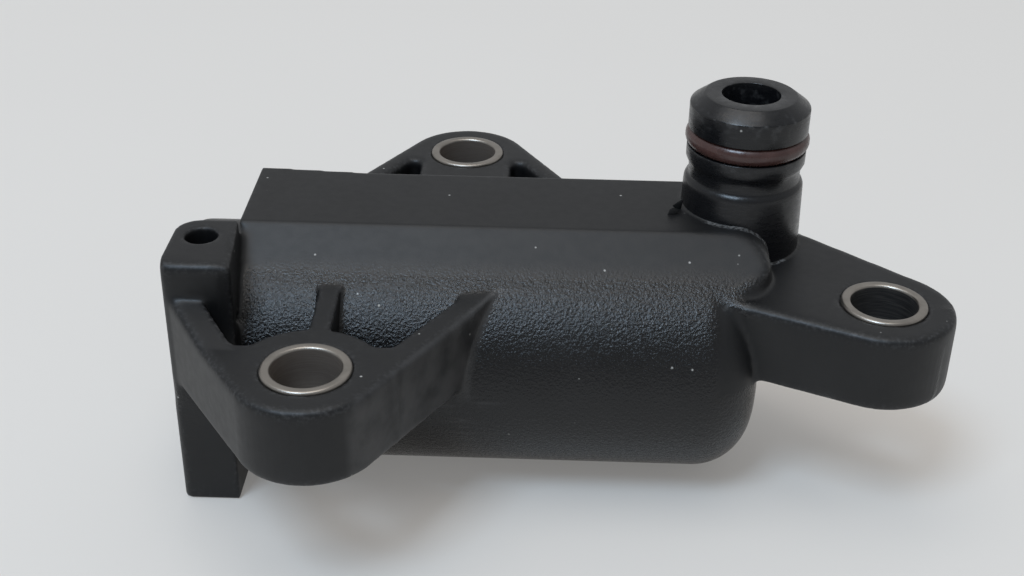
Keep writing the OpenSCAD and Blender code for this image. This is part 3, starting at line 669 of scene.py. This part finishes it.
# Inlet seal: a brown rubber O-ring in the spigot's groove. It is moulded in two halves, so a fine parting
# line runs round its outside, and it sits a little low in the groove.
SEAL_SAG = 0.22 * MM
SEAL_TALLER = 1.12
SEAL_CORD = 0.89 * MM
SEAL_HEIGHT = (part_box("inlet_seal")[0].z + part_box("inlet_seal")[1].z) / 2 - SEAL_SAG
SEAL_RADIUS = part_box("inlet_seal")[1].x - SPIGOT_CENTRE[0] - SEAL_CORD
PARTING_HALF = 0.05 * MM
PARTING_DEPTH = 0.02 * MM
SEAL_BROWN = (0.050, 0.022, 0.019, 1)
SEAL_PALE = (0.072, 0.035, 0.030, 1)
RUBBER_DUST = (0.30, 0.28, 0.26, 1)
RUBBER_RELIEF = 0.02 * MM

bpy.ops.object.select_all(action="DESELECT")
bpy.ops.mesh.primitive_torus_add(
    major_radius=SEAL_RADIUS, minor_radius=SEAL_CORD, major_segments=128, minor_segments=32
)
seal = bpy.context.object
seal.name = "inlet_seal_ring"
seal_points = vectors(seal.data.vertices, "co")
parting = np.abs(seal_points[:, 2]) < PARTING_HALF
parting &= np.linalg.norm(seal_points[:, :2], axis=1) > SEAL_RADIUS
seal_points[parting, :2] *= 1 - PARTING_DEPTH / (SEAL_RADIUS + SEAL_CORD)
seal_points[:, 2] *= SEAL_TALLER
seal.data.vertices.foreach_set("co", seal_points.ravel())
seal.data.transform(Matrix.Translation((*SPIGOT_CENTRE, SEAL_HEIGHT)))
select_only(seal)
bpy.ops.object.shade_smooth()


def rubber_material(name, colour, pale, rough):
    """Moulded rubber with a soft sheen, faint mottling and dust."""
    rubber = Surface(name, IOR=1.5)
    tint = rubber.blend(rubber.effect(stains, Scale=600.0, High=0.75), colour, pale)
    tint = rubber.blend(rubber.effect(dust_specks, Share=0.02), tint, RUBBER_DUST)
    worn = rubber.effect(stains, Scale=1500.0)
    roughness = rubber.ramp(worn, 0.0, 1.0, rough, rough + 0.14)
    return rubber.finish(Base_Color=tint, Roughness=roughness, Normal=rubber.bump(worn, RUBBER_RELIEF, 0.3))


seal.data.materials.append(rubber_material("brown_rubber", SEAL_BROWN, SEAL_PALE, 0.22))
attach(seal, "housing")
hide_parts("inlet_seal")


# Liner and check valve inside the barrel: a ground steel liner with its black seal, a turned seat, a pressed
# cage and a polished ball. They are pressed in from the open end and keep their solids.
ALONG_BARREL = (14.0, 0.4, 0.4)
NO_WAY = (1.0, 1.0, 1.0)
ground_steel = steel_material("ground_steel", (0.58, 0.58, 0.58, 1), 0.24, ALONG_BARREL)
valve_steel = steel_material("valve_steel", (0.48, 0.47, 0.44, 1), 0.32, ALONG_BARREL)
ball_steel = steel_material("ball_steel", (0.72, 0.72, 0.73, 1), 0.12, NO_WAY)
black_rubber = rubber_material("black_rubber", (0.012, 0.012, 0.012, 1), (0.03, 0.03, 0.03, 1), 0.36)


def finish_node(node, finish):
    """Gives a CAD node a finish of its own."""
    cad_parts[node].data.materials.clear()
    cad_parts[node].data.materials.append(finish)


finish_node("cylinder_sleeve", ground_steel)
finish_node("sleeve_seal", black_rubber)
finish_node("valve_seat", valve_steel)
finish_node("valve_cage", valve_steel)
finish_node("check_ball", ball_steel)


# Plunger: a hardened and ground steel cup with a domed nose, a wire ring near its tail and a cream nylon
# stem inside that guides the spring.
CREAM_LIGHT = (0.60, 0.54, 0.40, 1)
CREAM_DARK = (0.50, 0.44, 0.32, 1)
GUIDE_ROUGH = (0.42, 0.55)
GUIDE_RELIEF = 0.02 * MM
guide = Surface("natural_nylon", IOR=1.53)
flow = guide.noise(500, stretch=(0.2, 1, 1))
guide_finish = guide.finish(
    Base_Color=guide.blend(guide.ramp(flow, 0.35, 0.7), CREAM_LIGHT, CREAM_DARK),
    Roughness=guide.ramp(flow, 0.3, 0.7, *GUIDE_ROUGH),
    Normal=guide.bump(flow, GUIDE_RELIEF, 0.3),
)
spring_steel = steel_material("spring_steel", (0.42, 0.41, 0.39, 1), 0.30, NO_WAY)
finish_node("plunger", ground_steel)
finish_node("retaining_ring", spring_steel)
finish_node("spring_guide", guide_finish)


# Springs: the plunger's long coil and the ball's small one, wound from round wire.
PLUNGER_WIRE = 1.2 * MM
PLUNGER_TURNS = 16
BALL_WIRE = 0.35 * MM
BALL_TURNS = 3
WIRE_SIDES = 12
STEPS_PER_TURN = 32


def wound(name, node, wire, turns):
    """A coil along X that fills a CAD node's box, wound by the screw modifier and capped at both ends."""
    low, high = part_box(node)
    coil_radius = (high.z - low.z) / 2 - wire / 2
    bpy.ops.object.select_all(action="DESELECT")
    bpy.ops.mesh.primitive_circle_add(vertices=WIRE_SIDES, radius=wire / 2, location=(0, coil_radius, 0))
    coil = bpy.context.object
    coil.name = name
    bpy.ops.object.transform_apply(location=True, rotation=True, scale=True)
    apply_modifier(
        coil,
        "SCREW",
        axis="X",
        angle=math.tau,
        iterations=turns,
        screw_offset=(high.x - low.x - wire) / turns,
        steps=STEPS_PER_TURN,
        render_steps=STEPS_PER_TURN,
    )
    bpy.ops.object.mode_set(mode="EDIT")
    bpy.ops.mesh.select_all(action="SELECT")
    bpy.ops.mesh.remove_doubles(threshold=0.001 * MM)
    bpy.ops.mesh.fill_holes(sides=0)
    bpy.ops.mesh.select_all(action="SELECT")
    bpy.ops.mesh.normals_make_consistent(inside=False)
    bpy.ops.object.mode_set(mode="OBJECT")
    first = min(point.co.x for point in coil.data.vertices)
    coil.data.transform(Matrix.Translation((low.x - first, BARREL_AXIS_Y, BARREL_AXIS_Z)))
    shade(coil, 50)
    coil.data.materials.append(spring_steel)
    return coil


plunger_coil = wound("plunger_coil", "plunger_spring", PLUNGER_WIRE, PLUNGER_TURNS)
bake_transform(plunger_coil)
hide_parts("plunger_spring")

ball_coil = wound("ball_coil", "valve_spring", BALL_WIRE, BALL_TURNS)
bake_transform(ball_coil)
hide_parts("valve_spring")


# Table and room: a plain pale surface at the level that the barrel and the post rest on, with a wide warm
# ceiling light overhead and a cool window to the upper left of the camera. The table's faint glow is seen
# by the camera and in reflections only, so it lifts the shadows and throws no light on the part.
FLOOR_SIZE = 3.0
FLOOR_Z = cad_box[0][2]
TABLE_DARK = (0.52, 0.495, 0.465, 1)
TABLE_LIGHT = (0.56, 0.535, 0.505, 1)
TABLE_ROUGH = (0.55, 0.65)
TABLE_GLOW = (1.0, 0.985, 0.965, 1)
BACKGROUND_LIFT = 0.17
ROOM_COLOUR = (0.97, 0.985, 1.0, 1)
ROOM_STRENGTH = {"From Min": -0.9, "From Max": 0.5, "To Min": 0.34, "To Max": 0.53}
CEILING_COLOUR = (1.0, 0.96, 0.92)
WINDOW_COLOUR = (0.60, 0.79, 1.0)
PART_MIDDLE = (0.02, 0.022, -0.008)

bpy.ops.object.select_all(action="DESELECT")
bpy.ops.mesh.primitive_plane_add(size=FLOOR_SIZE, location=(0, 0, FLOOR_Z))
table = bpy.context.object
table.name = "table"
pale = Surface("pale_table", Emission_Color=TABLE_GLOW)
tone = pale.noise(6)
seen = pale.node("ShaderNodeLightPath").outputs
seen_directly = pale.math("MAXIMUM", seen["Is Camera Ray"], seen["Is Glossy Ray"])
seen_directly = pale.math("MAXIMUM", seen_directly, seen["Is Transmission Ray"])
pale_finish = pale.finish(
    Base_Color=pale.blend(tone, TABLE_DARK, TABLE_LIGHT),
    Roughness=pale.ramp(tone, 0, 1, *TABLE_ROUGH),
    Emission_Strength=pale.times(seen_directly, BACKGROUND_LIFT),
)
table.data.materials.append(pale_finish)

world = bpy.data.worlds.new("room")
bpy.context.scene.world = world
world.use_nodes = True
room = world.node_tree
room_way = room.nodes.new("ShaderNodeTexCoord")
room_parts = room.nodes.new("ShaderNodeSeparateXYZ")
room_light = room.nodes.new("ShaderNodeMapRange")
room.links.new(room_way.outputs["Generated"], room_parts.inputs["Vector"])
room.links.new(room_parts.outputs["Y"], room_light.inputs["Value"])
for socket, value in ROOM_STRENGTH.items():
    room_light.inputs[socket].default_value = value
room.links.new(room_light.outputs["Result"], room.nodes["Background"].inputs["Strength"])
room.nodes["Background"].inputs["Color"].default_value = ROOM_COLOUR


def panel(name, place, aim, size, power, colour):
    """A square soft light that looks at a point."""
    lamp = bpy.data.lights.new(name, "AREA")
    lamp.size = size
    lamp.energy = power
    lamp.color = colour
    holder = bpy.data.objects.new(name, lamp)
    bpy.context.collection.objects.link(holder)
    holder.location = place
    holder.rotation_euler = (Vector(aim) - Vector(place)).to_track_quat("-Z", "Y").to_euler()


panel("ceiling", (-0.10, -0.02, 1.10), PART_MIDDLE, size=0.80, power=3.9, colour=CEILING_COLOUR)
panel("window", (-0.30, -0.45, 0.95), PART_MIDDLE, size=0.36, power=6.2, colour=WINDOW_COLOUR)


# Camera: a phone held above the table, tilted about thirty degrees down and a hair off level. Its place and
# its focal length were solved from the bush rims, the spigot's rims and the straight edges.
EYE = Vector((22.532, -116.835, 76.02)) * MM
TURN = math.radians(-1.3)
PITCH = math.radians(29.67)
ROLL = math.radians(0.95)
FOCAL_PIXELS = 1439.6
PHOTO_WIDTH = 1024
SENSOR = 36.0
CLIP_NEAR = 0.005

level = Vector((math.sin(TURN), math.cos(TURN), 0))
side = Vector((math.cos(TURN), -math.sin(TURN), 0))
ahead = level * math.cos(PITCH) - Vector((0, 0, 1)) * math.sin(PITCH)
above = level * math.sin(PITCH) + Vector((0, 0, 1)) * math.cos(PITCH)
right = side * math.cos(ROLL) + above * math.sin(ROLL)
top = above * math.cos(ROLL) - side * math.sin(ROLL)
camera_data = bpy.data.cameras.new("camera")
camera_data.sensor_width = SENSOR
camera_data.sensor_fit = "HORIZONTAL"
camera_data.lens = FOCAL_PIXELS * SENSOR / PHOTO_WIDTH
camera_data.clip_start = CLIP_NEAR
camera = bpy.data.objects.new("camera", camera_data)
bpy.context.collection.objects.link(camera)
camera.matrix_world = Matrix.Translation(EYE) @ Matrix((right, top, -ahead)).transposed().to_4x4()
bpy.context.scene.camera = camera
bpy.context.scene.view_settings.view_transform = "Standard"
